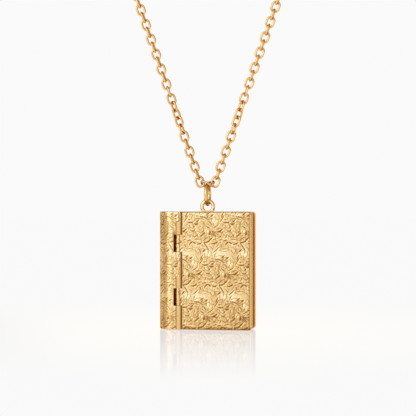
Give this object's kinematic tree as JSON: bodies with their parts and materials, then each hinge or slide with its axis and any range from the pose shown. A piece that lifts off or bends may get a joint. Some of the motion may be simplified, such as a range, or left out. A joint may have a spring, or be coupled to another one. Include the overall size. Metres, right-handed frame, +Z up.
{
  "type": "book locket on a cable chain necklace",
  "caption": "Gold locket shaped like a small book with an engraved hinged cover, hung by a jump ring from a closed cable chain worn round the neck.",
  "frame": {"origin": "the neck rest: the inside of the chain loop at its top, under the clasp, where the necklace hangs", "axes": "+Z up, the pendant hangs straight down -Z; the locket's front cover faces -Y and its spine is toward -X"},
  "size_m": [0.0962, 0.0055, 0.2171],
  "materials": {
    "case_gold": "engraved and polished yellow gold, darker in the recesses",
    "wire_gold": "polished yellow gold wire",
    "chain_gold": "polished yellow gold links"
  },
  "bodies": {
    "chain": {"chain_front": "chain_gold", "chain_back": "chain_gold", "clasp": "wire_gold"},
    "ring": {"jump_ring": "wire_gold"},
    "locket": {"back_case": "case_gold", "hinge_pin": "wire_gold"},
    "cover": {"front_cover": "case_gold"}
  },
  "joints": [
    {"name": "ring_swing", "type": "hinge", "parent": "chain", "child": "ring", "pos_m": [0, 0, -0.18589], "axis": [1, 0, 0], "range_deg": [-60, 60]},
    {"name": "locket_swing", "type": "hinge", "parent": "ring", "child": "locket", "pos_m": [0, 0, -0.18781], "axis": [0, 1, 0], "range_deg": [-60, 60]},
    {"name": "cover_hinge", "type": "hinge", "parent": "locket", "child": "cover", "pos_m": [-0.00513, -0.00228, -0.20011], "axis": [0, 0, -1], "range_deg": [0, 105]}
  ]
}
